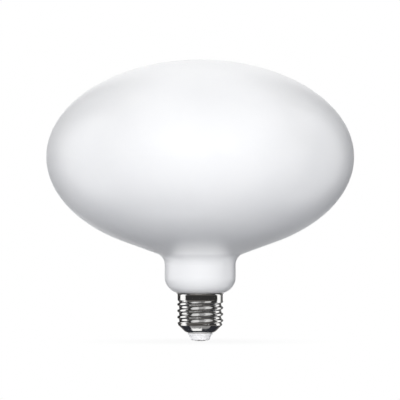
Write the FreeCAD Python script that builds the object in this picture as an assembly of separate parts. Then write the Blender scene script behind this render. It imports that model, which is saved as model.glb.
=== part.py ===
import FreeCAD, Part
import math
import os

# Oval light bulb with an E27 screw cap.
# Millimetres, +Z up through the bulb's axis, origin at the middle of the centre contact's flat face.

# Blown opal glass
OVAL_DIAMETER = 175.4
OVAL_TOP_HEIGHT = 55.3  # above the widest line
OVAL_BOTTOM_DEPTH = 55.7  # below it, of the whole ellipse
FLANK_ANGLE = 70.0  # of the straight flank under the oval, from the axis
NECK_DIAMETER = 40.4
NECK_LENGTH = 7.23  # of its straight part
NECK_ROOT_RADIUS = 6.5
SHOULDER_RADIUS = 9.2
SEAT_ABOVE_THREAD = 0.4  # the glass ends this far above the thread, inside the collar
SEAT_END_RADIUS = 1.2
CEMENT_GAP = 0.15  # between glass and cap

# Screw cap, rolled and pressed from sheet
CAP_WALL = 0.3
CAP_HEIGHT = 22.9
COLLAR_BELOW_CREST = 0.2  # the collar's radius is smaller than the thread's by this
COLLAR_HEIGHT = 3.9  # from the rim down to the thread
RIM_FLARE_RADIUS = 1.13  # outside the sheet
RIM_FLARE_ANGLE = 65.0  # that the sheet turns out by, so that its cut edge faces up and out
THREAD_DIAMETER = 26.3
THREAD_PITCH = 3.629  # seven turns to the inch
THREAD_DEPTH = 1.095
THREAD_RUN_OUT = 1.5
CREST_BELOW_RIM = 8.4  # of the first whole crest on the +X side
BASE_BELOW_CREST = 0.5  # the base's largest radius is smaller than the thread's by this
BASE_ANGLE = 45.0
BASE_EDGE_RADIUS = 0.3  # inside the sheet
BASE_TURN_RADIUS = 5.0
BASE_HOLE_DIAMETER = 12.0

# White insulator, held in the hole of the base
INSULATOR_HEIGHT = 4.05  # from the contact's head up to the cap
INSULATOR_LIP_OVERLAP = 1.0  # past the hole's edge
INSULATOR_LIP_HEIGHT = 0.85
INSULATOR_LIP_ROUNDING = 0.25
INSULATOR_LIP_STEP = 0.5  # from the lip in to the tapered body
INSULATOR_END_DIAMETER = 11.4
INSULATOR_END_RADIUS = 1.5
INSULATOR_FLANGE_OVERLAP = 1.5  # past the hole's edge, inside the cap
INSULATOR_FLANGE_HEIGHT = 1.6
INSULATOR_BOSS_WALL = 2.1
INSULATOR_BOSS_HEIGHT = 3.2

# Contact nail
CONTACT_DIAMETER = 6.0
CONTACT_HEAD_HEIGHT = 0.35
CONTACT_EDGE_RADIUS = 0.25
CONTACT_SHANK_DIAMETER = 2.2
CONTACT_SHANK_STAND_OUT = 1.0  # above the boss, where the lead is soldered
CONTACT_CLEARANCE = 0.02

# Fineness of the thread's surface
TURN_STEPS = 36
PITCH_STEPS = 14
SLOPE_PROBE = 1e-6

SAME_POINT = 1e-6  # ends closer than this are one point

# Heights and radii that follow from the sizes above
CAP_BOTTOM_Z = CONTACT_HEAD_HEIGHT + INSULATOR_HEIGHT
RIM_Z = CAP_BOTTOM_Z + CAP_HEIGHT
CREST_RADIUS = THREAD_DIAMETER / 2
COLLAR_RADIUS = CREST_RADIUS - COLLAR_BELOW_CREST
FLARE = math.radians(RIM_FLARE_ANGLE)
RIM_RADIUS = COLLAR_RADIUS + RIM_FLARE_RADIUS * (1 - math.cos(FLARE))
SEAT_RADIUS = COLLAR_RADIUS - CAP_WALL - CEMENT_GAP
THREAD_TOP_Z = RIM_Z - COLLAR_HEIGHT
# crests and roots are arcs of one radius that touch each other half way
THREAD_ROUNDING = ((THREAD_PITCH / 2) ** 2 + THREAD_DEPTH**2) / (4 * THREAD_DEPTH)
HOLE_RADIUS = BASE_HOLE_DIAMETER / 2
BASE_SLOPE = math.radians(BASE_ANGLE)
BASE_OUTER_EDGE_RADIUS = BASE_EDGE_RADIUS + CAP_WALL
BASE_TOP_RADIUS = CREST_RADIUS - BASE_BELOW_CREST
BASE_EDGE_CENTRE_RADIUS = BASE_TOP_RADIUS - BASE_OUTER_EDGE_RADIUS
# the taper touches the turn to the hole below it and the rounded edge above it
BASE_TURN_REACH = BASE_TURN_RADIUS - BASE_OUTER_EDGE_RADIUS
TAPER_WIDTH = BASE_EDGE_CENTRE_RADIUS - HOLE_RADIUS - BASE_TURN_REACH * math.sin(BASE_SLOPE)
THREAD_BOTTOM_Z = (
    CAP_BOTTOM_Z + BASE_TURN_RADIUS
    - BASE_TURN_REACH * math.cos(BASE_SLOPE) + TAPER_WIDTH * math.tan(BASE_SLOPE)
)
FLANGE_TOP_Z = CAP_BOTTOM_Z + CAP_WALL + INSULATOR_FLANGE_HEIGHT
BOSS_TOP_Z = FLANGE_TOP_Z + INSULATOR_BOSS_HEIGHT


def at(radius, height):
    """A point of a turned piece's section."""
    return FreeCAD.Vector(radius, 0, height)


def line(start, end):
    return Part.LineSegment(start, end).toShape()


def arc(centre, radius, from_angle, to_angle):
    """An arc of the section, with angles in degrees from +X towards +Z."""
    middle = (from_angle + to_angle) / 2
    ends = [math.radians(angle) for angle in (from_angle, middle, to_angle)]
    points = [centre + at(radius * math.cos(angle), radius * math.sin(angle)) for angle in ends]
    return Part.Arc(*points).toShape()


def chain(*pieces):
    """Arcs and corner points, joined in their order by straight lines where they don't meet."""
    edges = []
    end = None
    for piece in pieces:
        start = piece if isinstance(piece, FreeCAD.Vector) else piece.firstVertex(True).Point
        if end is not None and end.distanceToPoint(start) > SAME_POINT:
            edges.append(line(end, start))
        if isinstance(piece, FreeCAD.Vector):
            end = piece
        else:
            edges.append(piece)
            end = piece.lastVertex(True).Point
    return edges


def turned(section):
    """A solid turned from a closed section."""
    face = Part.Face(Part.Wire(section))
    return face.revolve(FreeCAD.Vector(0, 0, 0), FreeCAD.Vector(0, 0, 1), 360)


def turned_faces(section):
    """The faces turned from an open section."""
    return Part.Wire(section).revolve(FreeCAD.Vector(0, 0, 0), FreeCAD.Vector(0, 0, 1), 360).Faces


def oval_arc(centre, half_height, from_angle, to_angle):
    """An arc of an ellipse as wide as the oval, with its angles in radians."""
    ellipse = Part.Ellipse(centre + at(OVAL_DIAMETER / 2, 0), centre + at(0, half_height), centre)
    return Part.ArcOfEllipse(ellipse, from_angle, to_angle).toBSpline().toShape()


def glass_envelope():
    flank = math.radians(FLANK_ANGLE)
    neck = NECK_DIAMETER / 2

    # The end sits inside the cap's collar
    end_z = THREAD_TOP_Z + SEAT_ABOVE_THREAD
    end = arc(at(SEAT_RADIUS - SEAT_END_RADIUS, end_z + SEAT_END_RADIUS), SEAT_END_RADIUS, -90, 0)

    # The shoulder turns out over the cap's rim
    turn_radius = neck - SHOULDER_RADIUS
    rim_reach = max(0, RIM_RADIUS - turn_radius)
    shoulder_z = RIM_Z + CEMENT_GAP + math.sqrt(SHOULDER_RADIUS**2 - rim_reach**2)
    seat_reach = max(0, SEAT_RADIUS - turn_radius)
    seat_angle = math.acos(seat_reach / SHOULDER_RADIUS)
    seat_corner = at(SEAT_RADIUS, shoulder_z - SHOULDER_RADIUS * math.sin(seat_angle))
    shoulder = arc(at(turn_radius, shoulder_z), SHOULDER_RADIUS, -math.degrees(seat_angle), 0)

    # The neck turns out into the flank
    root_centre = at(neck + NECK_ROOT_RADIUS, shoulder_z + NECK_LENGTH)
    root = arc(root_centre, NECK_ROOT_RADIUS, 180, 180 - FLANK_ANGLE)
    root_end = root_centre + at(-math.cos(flank), math.sin(flank)) * NECK_ROOT_RADIUS

    # The flank runs straight up to where it touches the oval
    touch = -math.atan(math.tan(flank) * OVAL_BOTTOM_DEPTH / (OVAL_DIAMETER / 2))
    touch_radius = OVAL_DIAMETER / 2 * math.cos(touch)
    touch_z = root_end.z + (touch_radius - root_end.x) / math.tan(flank)
    centre = at(0, touch_z - OVAL_BOTTOM_DEPTH * math.sin(touch))
    oval_bottom = oval_arc(centre, OVAL_BOTTOM_DEPTH, touch, 0)
    oval_top = oval_arc(centre, OVAL_TOP_HEIGHT, 0, math.pi / 2)
    return turned(chain(at(0, end_z), end, seat_corner, shoulder, root, oval_bottom, oval_top, at(0, end_z)))


def smooth_step(value):
    value = min(1, max(0, value))
    return value * value * (3 - 2 * value)


def thread_rise(distance):
    """How far an arc of the thread's rounding leaves its tangent, a distance along it."""
    return THREAD_ROUNDING - math.sqrt(THREAD_ROUNDING**2 - distance**2)


def thread_drop(distance):
    """Depth below the crest line, a distance along the axis from any crest."""
    from_crest = abs(distance - THREAD_PITCH * round(distance / THREAD_PITCH))
    if from_crest <= THREAD_PITCH / 4:
        return thread_rise(from_crest)
    return THREAD_DEPTH - thread_rise(THREAD_PITCH / 2 - from_crest)


def thread_radius(angle, z):
    """Outer radius of the sheet in the threaded length. The thread is right-handed."""
    crest_z = RIM_Z - CREST_BELOW_RIM + THREAD_PITCH * angle / (2 * math.pi)
    wave = CREST_RADIUS - thread_drop(z - crest_z)
    from_top = smooth_step((THREAD_TOP_Z - z) / THREAD_RUN_OUT)
    from_bottom = smooth_step((z - THREAD_BOTTOM_Z) / THREAD_RUN_OUT)
    plain = COLLAR_RADIUS if z > (THREAD_TOP_Z + THREAD_BOTTOM_Z) / 2 else BASE_TOP_RADIUS
    share = min(from_top, from_bottom)
    return plain + share * (wave - plain)


def thread_point(angle, z, depth):
    """A point of the threaded sheet, a depth below its outer surface, in its axial section."""
    rise = thread_radius(angle, z + SLOPE_PROBE) - thread_radius(angle, z - SLOPE_PROBE)
    slope = rise / (2 * SLOPE_PROBE)
    steepness = math.hypot(1, slope)
    return thread_radius(angle, z) - depth / steepness, z + depth * slope / steepness


def thread_face(depth):
    """One face round the whole threaded length: a curve for each angle, joined smoothly into a ring."""
    length = THREAD_TOP_Z - THREAD_BOTTOM_Z
    rows = round(length / THREAD_PITCH * PITCH_STEPS)
    heights = [THREAD_BOTTOM_Z + length * row / rows for row in range(rows + 1)]
    step = 2 * math.pi / TURN_STEPS
    # a ring of degree five starts at its third pole and lies inside its poles, which stand out by this factor
    ring_degree = 5
    column_degree = 3
    first_pole = 2
    spread = 60 / (33 + 26 * math.cos(step) + math.cos(2 * step))
    columns = []
    for turn in range(TURN_STEPS):
        angle = step * (turn - first_pole)
        points = []
        for z in heights:
            radius, point_z = thread_point(angle, z, depth)
            reach = radius * spread
            points.append(FreeCAD.Vector(reach * math.cos(angle), reach * math.sin(angle), point_z))
        curve = Part.BSplineCurve()
        curve.interpolate(Points=points, Parameters=heights)
        columns.append(curve)
    surface = Part.BSplineSurface()
    surface.buildFromPolesMultsKnots(
        [column.getPoles() for column in columns],
        [1] * (TURN_STEPS + 1),
        columns[0].getMultiplicities(),
        [step * turn for turn in range(TURN_STEPS + 1)],
        columns[0].getKnots(),
        True,
        False,
        ring_degree,
        column_degree,
    )
    return surface.toShape()


def rim_section():
    """From the thread's top up the outside, round the flared rim and down the inside."""
    inner_radius = RIM_FLARE_RADIUS + CAP_WALL
    flare_centre = at(COLLAR_RADIUS + RIM_FLARE_RADIUS, RIM_Z - inner_radius * math.sin(FLARE))
    outside = arc(flare_centre, RIM_FLARE_RADIUS, 180, 180 - RIM_FLARE_ANGLE)
    inside = arc(flare_centre, inner_radius, 180 - RIM_FLARE_ANGLE, 180)
    return chain(at(COLLAR_RADIUS, THREAD_TOP_Z), outside, inside, at(COLLAR_RADIUS - CAP_WALL, THREAD_TOP_Z))


def base_section():
    """From the thread's bottom down the outside, round the hole's edge and up the inside."""
    edge_centre = at(BASE_EDGE_CENTRE_RADIUS, THREAD_BOTTOM_Z)
    turn_centre = at(HOLE_RADIUS, CAP_BOTTOM_Z + BASE_TURN_RADIUS)
    return chain(
        arc(edge_centre, BASE_OUTER_EDGE_RADIUS, 0, BASE_ANGLE - 90),
        arc(turn_centre, BASE_TURN_RADIUS, BASE_ANGLE - 90, -90),
        arc(turn_centre, BASE_TURN_RADIUS - CAP_WALL, -90, BASE_ANGLE - 90),
        arc(edge_centre, BASE_EDGE_RADIUS, BASE_ANGLE - 90, 0),
    )


def screw_shell():
    faces = turned_faces(rim_section()) + turned_faces(base_section())
    faces += thread_face(0).Faces + thread_face(CAP_WALL).Faces
    shell = Part.makeShell(faces)
    shell.sewShape()
    solid = Part.makeSolid(Part.makeShell(shell.Faces))
    if solid.Volume < 0:
        solid.reverse()
    return solid


def insulator():
    """White body with a lip under the cap, a flange above the hole's edge and a boss round the nail."""
    bore = CONTACT_SHANK_DIAMETER / 2 + CONTACT_CLEARANCE
    boss = bore + INSULATOR_BOSS_WALL
    flange = HOLE_RADIUS + INSULATOR_FLANGE_OVERLAP
    end_z = CONTACT_HEAD_HEIGHT
    end_centre = at(INSULATOR_END_DIAMETER / 2 - INSULATOR_END_RADIUS, end_z + INSULATOR_END_RADIUS)

    lip = HOLE_RADIUS + INSULATOR_LIP_OVERLAP
    lip_z = CAP_BOTTOM_Z - INSULATOR_LIP_HEIGHT
    lip_edge = lip - INSULATOR_LIP_ROUNDING
    lip_bottom = arc(at(lip_edge, lip_z + INSULATOR_LIP_ROUNDING), INSULATOR_LIP_ROUNDING, -90, 0)
    lip_top = arc(at(lip_edge, CAP_BOTTOM_Z - INSULATOR_LIP_ROUNDING), INSULATOR_LIP_ROUNDING, 0, 90)

    # the flange follows the turn of the sheet round the hole
    turn = BASE_TURN_RADIUS - CAP_WALL
    climb = math.degrees(math.asin(INSULATOR_FLANGE_OVERLAP / turn))
    flange_seat = arc(at(HOLE_RADIUS, CAP_BOTTOM_Z + BASE_TURN_RADIUS), turn, -90, climb - 90)
    return turned(chain(
        at(bore, end_z), arc(end_centre, INSULATOR_END_RADIUS, -90, 0), at(lip - INSULATOR_LIP_STEP, lip_z),
        lip_bottom, lip_top, at(HOLE_RADIUS, CAP_BOTTOM_Z), flange_seat,
        at(flange, FLANGE_TOP_Z), at(boss, FLANGE_TOP_Z), at(boss, BOSS_TOP_Z),
        at(bore, BOSS_TOP_Z), at(bore, end_z),
    ))


def centre_contact():
    """Nail with a flat round head under the insulator and a shank up through its boss."""
    head = CONTACT_DIAMETER / 2
    shank = CONTACT_SHANK_DIAMETER / 2
    top_z = BOSS_TOP_Z + CONTACT_SHANK_STAND_OUT
    rounding = min(CONTACT_EDGE_RADIUS, CONTACT_HEAD_HEIGHT)
    edge = arc(at(head - rounding, rounding), rounding, -90, 0)
    return turned(chain(
        at(0, 0), edge, at(head, CONTACT_HEAD_HEIGHT), at(shank, CONTACT_HEAD_HEIGHT),
        at(shank, top_z), at(0, top_z), at(0, 0),
    ))


os.makedirs("parts", exist_ok=True)
for make in (glass_envelope, screw_shell, insulator, centre_contact):
    make().exportStep(f"parts/{make.__name__}.step")
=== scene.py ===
import bpy
import math
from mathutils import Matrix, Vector

# Oval opal light bulb with a metal screw cap, upright on a pale floor.
# Metres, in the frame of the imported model: +Z up the bulb's axis, origin under the centre contact.

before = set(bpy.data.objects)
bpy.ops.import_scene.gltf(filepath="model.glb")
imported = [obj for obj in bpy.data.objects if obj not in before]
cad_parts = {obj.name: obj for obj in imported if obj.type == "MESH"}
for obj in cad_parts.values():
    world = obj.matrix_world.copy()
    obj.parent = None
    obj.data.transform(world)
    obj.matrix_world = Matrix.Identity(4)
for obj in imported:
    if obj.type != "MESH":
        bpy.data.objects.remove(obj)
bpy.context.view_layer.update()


def grey(value):
    return (value, value, value)


# The photograph is square and seen level from far off
PHOTO_PIXELS = 400
PIXEL = 0.00057  # of the photograph, at the bulb's axis
AXIS_COLUMN = 200.2
CONTACT_ROW = 340.8
CAMERA_DISTANCE = 2.5
SENSOR_WIDTH = 36.0  # millimetres

# Most of a noise texture's values lie in this range
NOISE_RANGE = (0.3, 0.7)

# Opal glass: its two tints, and the heights of its slow waves and of its etched grain
GLASS_TINTS = ((0.915, 0.917, 0.925), (0.935, 0.935, 0.938))
GLASS_ROUGHNESS = (0.27, 0.35)
GLASS_WAVE_HEIGHT = 0.00012
GLASS_GRAIN_HEIGHT = 0.000006
GLASS_SCATTER = 0.004

# Plated shell: its two tints, and the height and spacing of the fine rings that rolling leaves
PLATE_TINTS = ((0.645, 0.64, 0.632), (0.715, 0.71, 0.703))
PLATE_ROUGHNESS = (0.07, 0.14)
PLATE_RING_HEIGHT = 0.000004
RING_STRETCH = (60.0, 60.0, 2600.0)

# The shell's base is pressed slightly round: the middle of its slope, half the slope's height, the bulge
BASE_MIDDLE = 0.0068
BASE_HALF = 0.0023
BASE_BULGE = 0.00017

# White insulator
INSULATOR_TINTS = ((0.955, 0.95, 0.968), (0.975, 0.97, 0.983))
INSULATOR_ROUGHNESS = (0.36, 0.5)
INSULATOR_GRAIN_HEIGHT = 0.000008
INSULATOR_SCATTER = 0.001

# Contact: its turning rings follow a sine of the radius, with this many radians in a metre
CONTACT_TINTS = ((0.62, 0.60, 0.57), (0.76, 0.75, 0.72))
CONTACT_ROUGHNESS = (0.28, 0.45)
CONTACT_RING_HEIGHT = 0.000004
CONTACT_RINGS = 42000.0

# Light of the room, and of the background where the camera and gloss see it
ROOM_LIGHT = 0.13
ROOM_COLOUR = (0.94, 0.98, 1.08)
BACKGROUND_WHITE = 1.0

# Lamps that light matt surfaces: middle, width, height and power; each faces the bulb
LAMPS = {
    "left": ((-0.79, 0.14, 0.22), 0.56, 0.44, 1.3),
    "left_back": ((-0.55, 0.65, 0.22), 0.6, 0.44, 1.6),
    "back": ((0.3, 1.3, 0.4), 1.0, 0.6, 2.0),
    "overhead": ((-0.25, 0, 0.95), 0.6, 0.6, 1.0),
    "top_back": ((0, 0.5, 0.8), 0.8, 0.6, 4.2),
    "top_right": ((0.62, -0.1, 0.65), 0.4, 0.4, 0.75),
    "front": ((0, -1.6, 0.25), 1.0, 0.49, 12.6),
    "front_wide": ((0, -1.6, 0.56), 2.4, 1.1, 12.4),
}
LAMP_AIM = (0, 0, 0.09)

# Boards that only gloss and metal show. The upright ones: two ends in plan, foot, top and colour
WHITE_BOARD = grey(1.4)
UPRIGHT_BOARDS = {
    "strip_left": ((-0.84, -0.14), (-0.74, 0.42), -0.9, 0.9, WHITE_BOARD),
    "strip_right": ((0.64, 0.48), (0.8, 0.1), -0.9, 0.9, WHITE_BOARD),
    "back_right": ((1.22, 1.95), (1.57, 1.68), -0.7, 1.5, grey(0.28)),
}
# The level ones: height, corners in plan and colour
LEVEL_BOARDS = {
    "bank_left": (0.85, ((-0.05, 0.4), (-0.37, -2.35), (-1.5, -1.85), (-0.28, 0.4)), grey(1.0)),
    "bank_middle": (0.85, ((-0.05, 0.4), (-0.37, -2.35), (0.68, -2.25), (0.09, 0.4)), grey(0.42)),
    "bank_right": (0.85, ((0.09, 0.4), (0.68, -2.25), (1.75, -1.6), (0.36, 0.4)), grey(1.0)),
    "low_light": (
        -0.69,
        ((0.07, -0.03), (0.06, 0.06), (-0.12, 0.09), (-0.29, 0.22), (-0.33, 0.13), (-0.13, -0.01)),
        WHITE_BOARD,
    ),
    "low_arc": (
        -0.7,
        ((0, -0.17), (0.42, 0.05), (0.36, 0.14), (0, -0.06), (-0.36, 0.14), (-0.42, 0.05)),
        grey(0.4),
    ),
    "well": (-0.71, ((-1.2, -0.05), (1.2, -0.05), (1.2, 1.2), (-1.2, 1.2)), (0.035, 0.038, 0.046)),
    "ground": (-0.72, ((-2.4, -2.4), (2.4, -2.4), (2.4, 2.4), (-2.4, 2.4)), (0.16, 0.152, 0.143)),
}

# Dark walls round the set, open behind the bulb, which only gloss and metal show
WALL_RADIUS = 2.4
WALL_HEIGHTS = (-0.72, 2.4)
WALL_STEPS = 72
WALL_OPENING = 30.0  # degrees
WALL_GREY = grey(0.045)

# The metal shows the set without the bulb's own glass and shell, which would darken its upper slopes
NOT_IN_GLOSS = ("glass_envelope", "screw_shell")

# Painted reflection: the glass above the neck mirrors the neck's lit front, and this glowing ring, seen
# only in gloss, stands in for it there
NECK_REFLECTION_RADIUS = 0.0201
NECK_REFLECTION_HEIGHTS = (0.031, 0.0495)
NECK_REFLECTION_FADE = (0.033, 0.045)  # heights from which and up to which it grows
NECK_REFLECTION_SIDE = -0.004  # Y at which it has faded out
NECK_REFLECTION_STEPS = 24
NECK_REFLECTION_COLOUR = grey(2.0)

# Painted light: close under the cap the floor is paler, a pool of light that bounces more light up onto
# the cap and insulator. The bulb's shadow is seen on it and fades out with distance
FLOOR_HALF_WIDTH = 4.0
FLOOR_DROP = 0.0002  # under the contact, so that their faces don't lie in one plane
FLOOR_COLOUR = (0.49, 0.5, 0.522)
PAINTED_POOL_COLOUR = (0.86, 0.86, 0.87)
PAINTED_POOL_RADIUS = (0.02, 0.045)
SHADED_COLOUR = grey(0.9)
SHADOW_SHARE = 0.1
SHADOW_RADIUS = (0.012, 0.085)


class Nodes:
    """A material's or the world's node tree, built from calls that return sockets."""

    def __init__(self, owner):
        owner.use_nodes = True
        self.tree = owner.node_tree
        self.tree.nodes.clear()

    def add(self, kind, inputs=None, **settings):
        node = self.tree.nodes.new(kind)
        for name, value in settings.items():
            setattr(node, name, value)
        for name, value in (inputs or {}).items():
            self.put(node, name, value)
        return node

    def put(self, node, name, value):
        """Links a socket to a node's input, or sets the input to a value."""
        if isinstance(value, bpy.types.NodeSocket):
            self.tree.links.new(value, node.inputs[name])
        else:
            node.inputs[name].default_value = value

    def place(self):
        return self.add("ShaderNodeTexCoord").outputs["Object"]

    def parts(self, vector):
        return self.add("ShaderNodeSeparateXYZ", {"Vector": vector}).outputs

    def noise(self, vector, scale, detail=2.0, roughness=0.5):
        inputs = {"Vector": vector, "Scale": scale, "Detail": detail, "Roughness": roughness}
        return self.add("ShaderNodeTexNoise", inputs).outputs["Fac"]

    def stretched(self, vector, scale):
        return self.add("ShaderNodeMapping", {"Vector": vector, "Scale": scale}).outputs["Vector"]

    def math(self, operation, *values):
        node = self.add("ShaderNodeMath", operation=operation)
        for index, value in enumerate(values):
            self.put(node, index, value)
        return node.outputs[0]

    def radius(self, vector):
        """Distance from the bulb's axis."""
        parts = self.parts(vector)
        squares = [self.math("POWER", parts[axis], 2.0) for axis in ("X", "Y")]
        return self.math("SQRT", self.math("ADD", *squares))

    def span(self, value, low, high, to_low, to_high, smooth=False):
        """Maps low..high of a value to a new range, and holds it there."""
        inputs = {"Value": value, "From Min": low, "From Max": high, "To Min": to_low, "To Max": to_high}
        kind = "SMOOTHSTEP" if smooth else "LINEAR"
        return self.add("ShaderNodeMapRange", inputs, interpolation_type=kind).outputs["Result"]

    def blend(self, factor, first, second):
        """A colour from first, at 0, to second, at 1. The mix node's colours are its inputs 6 and 7."""
        node = self.add("ShaderNodeMix", data_type="RGBA")
        self.put(node, "Factor", factor)
        self.put(node, 6, (*first, 1.0))
        self.put(node, 7, (*second, 1.0))
        return node.outputs[2]

    def vary(self, noise, limits):
        """A number that follows a noise texture between two limits."""
        return self.span(noise, *NOISE_RANGE, *limits)

    def tint(self, noise, tints):
        """A colour that follows a noise texture between two tints."""
        return self.blend(self.vary(noise, (0.0, 1.0)), *tints)

    def bump(self, height, distance, strength=1.0, under=None):
        inputs = {"Height": height, "Distance": distance, "Strength": strength}
        if under is not None:
            inputs["Normal"] = under
        return self.add("ShaderNodeBump", inputs).outputs["Normal"]

    def shader(self, kind, inputs):
        """The shader that a node of some kind gives."""
        return self.add(kind, inputs).outputs[0]

    def mixed(self, factor, first, second):
        """A shader from first, at 0, to second, at 1."""
        return self.add("ShaderNodeMixShader", {"Fac": factor, 1: first, 2: second}).outputs["Shader"]

    def finish(self, shader, kind="ShaderNodeOutputMaterial"):
        self.add(kind, {"Surface": shader})


def new_material(name):
    material = bpy.data.materials.new(name)
    return material, Nodes(material)


def opal_glass():
    """Blown opal glass, etched to a satin surface."""
    material, nodes = new_material("opal_glass")
    place = nodes.place()
    cloud = nodes.noise(place, scale=38.0, detail=3.0)
    wave = nodes.noise(place, scale=16.0, detail=1.0)
    grain = nodes.noise(place, scale=2600.0, roughness=0.6)
    swell = nodes.bump(wave, GLASS_WAVE_HEIGHT)
    nodes.finish(nodes.shader("ShaderNodeBsdfPrincipled", {
        "Base Color": nodes.tint(cloud, GLASS_TINTS),
        "Roughness": nodes.vary(grain, GLASS_ROUGHNESS),
        "Normal": nodes.bump(grain, GLASS_GRAIN_HEIGHT, strength=0.5, under=swell),
        "IOR": 1.5,
        "Specular IOR Level": 0.5,
        "Subsurface Weight": 0.35,
        "Subsurface Radius": (1.0, 1.0, 1.0),
        "Subsurface Scale": GLASS_SCATTER,
    }))
    return material


def plated_shell():
    """Bright nickel plate on rolled sheet, with the fine rings that the rolling leaves."""
    material, nodes = new_material("plated_shell")
    place = nodes.place()
    smear = nodes.noise(place, scale=140.0, detail=3.0)
    speck = nodes.noise(place, scale=3200.0, detail=1.0)
    rings = nodes.noise(nodes.stretched(place, RING_STRETCH), scale=1.0)
    height = nodes.parts(place)["Z"]
    along = nodes.span(height, BASE_MIDDLE - BASE_HALF, BASE_MIDDLE + BASE_HALF, -1.0, 1.0)
    bulge = nodes.math("SUBTRACT", 1.0, nodes.math("POWER", nodes.math("ABSOLUTE", along), 2.0))
    pressed = nodes.bump(bulge, BASE_BULGE)
    both_noises = nodes.math("ADD", smear, speck)
    low, high = (2 * limit for limit in NOISE_RANGE)
    nodes.finish(nodes.shader("ShaderNodeBsdfPrincipled", {
        "Base Color": nodes.tint(smear, PLATE_TINTS),
        "Metallic": 1.0,
        "Roughness": nodes.span(both_noises, low, high, *PLATE_ROUGHNESS),
        "Normal": nodes.bump(rings, PLATE_RING_HEIGHT, strength=0.6, under=pressed),
    }))
    return material


def white_insulator():
    """Moulded white insulator with a soft gloss."""
    material, nodes = new_material("white_insulator")
    place = nodes.place()
    cloud = nodes.noise(place, scale=220.0)
    grain = nodes.noise(place, scale=3000.0)
    nodes.finish(nodes.shader("ShaderNodeBsdfPrincipled", {
        "Base Color": nodes.tint(cloud, INSULATOR_TINTS),
        "Roughness": nodes.vary(grain, INSULATOR_ROUGHNESS),
        "Normal": nodes.bump(grain, INSULATOR_GRAIN_HEIGHT, strength=0.5),
        "Specular IOR Level": 0.2,
        "Subsurface Weight": 0.2,
        "Subsurface Radius": (1.0, 1.0, 1.0),
        "Subsurface Scale": INSULATOR_SCATTER,
    }))
    return material


def contact_metal():
    """Tinned contact, slightly dull, with fine turning rings."""
    material, nodes = new_material("contact_metal")
    place = nodes.place()
    smear = nodes.noise(place, scale=700.0, detail=3.0)
    rings = nodes.math("SINE", nodes.math("MULTIPLY", nodes.radius(place), CONTACT_RINGS))
    nodes.finish(nodes.shader("ShaderNodeBsdfPrincipled", {
        "Base Color": nodes.tint(smear, CONTACT_TINTS),
        "Metallic": 1.0,
        "Roughness": nodes.vary(smear, CONTACT_ROUGHNESS),
        "Normal": nodes.bump(rings, CONTACT_RING_HEIGHT, strength=0.5),
    }))
    return material


def floor_material():
    """Pale floor. The camera sees it white, apart from the bulb's soft shadow; in bounced light it
    carries a painted pool of light close under the cap.
    """
    material, nodes = new_material("pale_floor")
    radius = nodes.radius(nodes.place())
    near = nodes.span(radius, *SHADOW_RADIUS, SHADOW_SHARE, 0.0, smooth=True)
    white = nodes.shader("ShaderNodeEmission", {"Strength": BACKGROUND_WHITE})
    shaded = nodes.shader("ShaderNodeBsdfDiffuse", {"Color": (*SHADED_COLOUR, 1.0)})
    # Painted light: paler close under the cap, seen only in bounced light
    beyond_painted_pool = nodes.span(radius, *PAINTED_POOL_RADIUS, 0.0, 1.0, smooth=True)
    colour = nodes.blend(beyond_painted_pool, PAINTED_POOL_COLOUR, FLOOR_COLOUR)
    lit = nodes.shader("ShaderNodeBsdfDiffuse", {"Color": colour})
    by_camera = nodes.add("ShaderNodeLightPath").outputs["Is Camera Ray"]
    nodes.finish(nodes.mixed(by_camera, lit, nodes.mixed(near, white, shaded)))
    return material


def dress(node, material):
    """Gives a CAD node its finish."""
    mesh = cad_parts[node].data
    mesh.materials.clear()
    mesh.materials.append(material)


def make_mesh(name, verts, faces, material):
    mesh = bpy.data.meshes.new(name)
    mesh.from_pydata(verts, [], faces)
    mesh.materials.append(material)
    piece = bpy.data.objects.new(name, mesh)
    bpy.context.scene.collection.objects.link(piece)
    return piece


def make_floor():
    half = FLOOR_HALF_WIDTH
    corners = [(-half, -half, 0), (half, -half, 0), (half, half, 0), (-half, half, 0)]
    floor = make_mesh("floor", corners, [range(4)], floor_material())
    floor.location.z = -FLOOR_DROP
    floor.visible_glossy = False


def make_reflected(name, verts, faces, colour, fade=None):
    """A piece of the set that only gloss and metal show, and that isn't sampled as a lamp."""
    material, nodes = new_material(name)
    strength = fade(nodes) if fade else 1.0
    nodes.finish(nodes.shader("ShaderNodeEmission", {"Color": (*colour, 1.0), "Strength": strength}))
    material.cycles.emission_sampling = "NONE"
    piece = make_mesh(name, verts, faces, material)
    piece.visible_camera = False
    piece.visible_diffuse = False
    piece.visible_transmission = False
    piece.visible_shadow = False


def upright_arc(radius, heights, start, end, steps):
    """Vertices and faces of a round wall about the bulb's axis, from one angle to another."""
    verts = []
    for step in range(steps + 1):
        angle = start + (end - start) * step / steps
        verts += [(radius * math.cos(angle), radius * math.sin(angle), height) for height in heights]
    faces = [(foot, foot + 1, foot + 3, foot + 2) for foot in range(0, 2 * steps, 2)]
    return verts, faces


def make_walls():
    """A round wall with a ceiling, as a room round the set."""
    start = (math.pi + math.radians(WALL_OPENING)) / 2
    end = start + 2 * math.pi - math.radians(WALL_OPENING)
    verts, faces = upright_arc(WALL_RADIUS, WALL_HEIGHTS, start, end, WALL_STEPS)
    middle = len(verts)
    verts.append((0, 0, WALL_HEIGHTS[1]))
    faces += [(foot + 1, middle, foot + 3) for foot in range(0, 2 * WALL_STEPS, 2)]
    make_reflected("walls", verts, faces, WALL_GREY)


def neck_reflection_fade(nodes):
    """Strength of the painted neck reflection: strongest at the neck's front and top."""
    parts = nodes.parts(nodes.place())
    ahead = nodes.span(parts["Y"], -NECK_REFLECTION_RADIUS, NECK_REFLECTION_SIDE, 1.0, 0.0, smooth=True)
    up = nodes.span(parts["Z"], *NECK_REFLECTION_FADE, 0.0, 1.0)
    return nodes.math("MULTIPLY", ahead, up)


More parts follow.
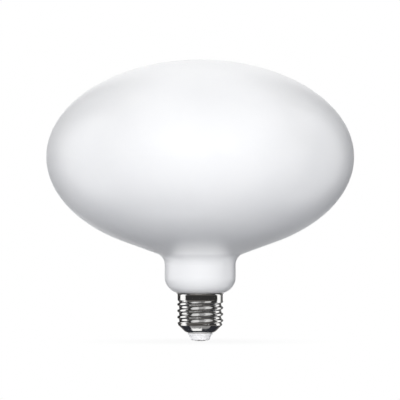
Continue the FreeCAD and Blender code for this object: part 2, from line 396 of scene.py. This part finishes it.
# Painted reflection: a glowing ring at the neck that only gloss and metal see
def make_painted_neck_reflection():
    verts, faces = upright_arc(NECK_REFLECTION_RADIUS, NECK_REFLECTION_HEIGHTS, -math.pi, 0, NECK_REFLECTION_STEPS)
    make_reflected("painted_neck_reflection", verts, faces, NECK_REFLECTION_COLOUR, neck_reflection_fade)


def make_boards():
    for name, (start, end, foot, top, colour) in UPRIGHT_BOARDS.items():
        corners = [(*start, foot), (*end, foot), (*end, top), (*start, top)]
        make_reflected(name, corners, [range(4)], colour)
    for name, (height, plan, colour) in LEVEL_BOARDS.items():
        corners = [(*point, height) for point in plan]
        make_reflected(name, corners, [range(len(plan))], colour)


def make_world():
    world = bpy.data.worlds.new("room")
    world.cycles.sampling_method = "NONE"
    bpy.context.scene.world = world
    nodes = Nodes(world)
    path = nodes.add("ShaderNodeLightPath").outputs
    seen = nodes.math("MAXIMUM", path["Is Camera Ray"], path["Is Glossy Ray"])
    seen = nodes.math("MAXIMUM", seen, path["Is Transmission Ray"])
    room = nodes.shader("ShaderNodeBackground", {"Color": (*ROOM_COLOUR, 1.0), "Strength": ROOM_LIGHT})
    white = nodes.shader("ShaderNodeBackground", {"Color": (1, 1, 1, 1), "Strength": BACKGROUND_WHITE})
    nodes.finish(nodes.mixed(seen, room, white), "ShaderNodeOutputWorld")


def make_lamp(name, middle, width, height, power):
    light = bpy.data.lights.new(name, "AREA")
    light.shape = "RECTANGLE"
    light.size = width
    light.size_y = height
    light.energy = power
    lamp = bpy.data.objects.new(name, light)
    lamp.location = middle
    lamp.rotation_mode = "QUATERNION"
    lamp.rotation_quaternion = (Vector(middle) - Vector(LAMP_AIM)).to_track_quat("Z", "Y")
    lamp.visible_camera = False
    lamp.visible_glossy = False
    bpy.context.scene.collection.objects.link(lamp)


def make_camera():
    data = bpy.data.cameras.new("camera")
    data.sensor_width = SENSOR_WIDTH
    data.lens = SENSOR_WIDTH * CAMERA_DISTANCE / (PHOTO_PIXELS * PIXEL)
    camera = bpy.data.objects.new("camera", data)
    across = (PHOTO_PIXELS / 2 - AXIS_COLUMN) * PIXEL
    up = (CONTACT_ROW - PHOTO_PIXELS / 2) * PIXEL
    camera.location = (across, -CAMERA_DISTANCE, up)
    camera.rotation_euler = (math.pi / 2, 0, 0)
    bpy.context.scene.collection.objects.link(camera)
    bpy.context.scene.camera = camera


dress("glass_envelope", opal_glass())
dress("screw_shell", plated_shell())
dress("insulator", white_insulator())
dress("centre_contact", contact_metal())
for node_name in NOT_IN_GLOSS:
    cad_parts[node_name].visible_glossy = False

make_floor()
make_walls()
make_painted_neck_reflection()
make_boards()
make_world()
for lamp_name, lamp_values in LAMPS.items():
    make_lamp(lamp_name, *lamp_values)
make_camera()
bpy.context.scene.view_settings.view_transform = "Standard"
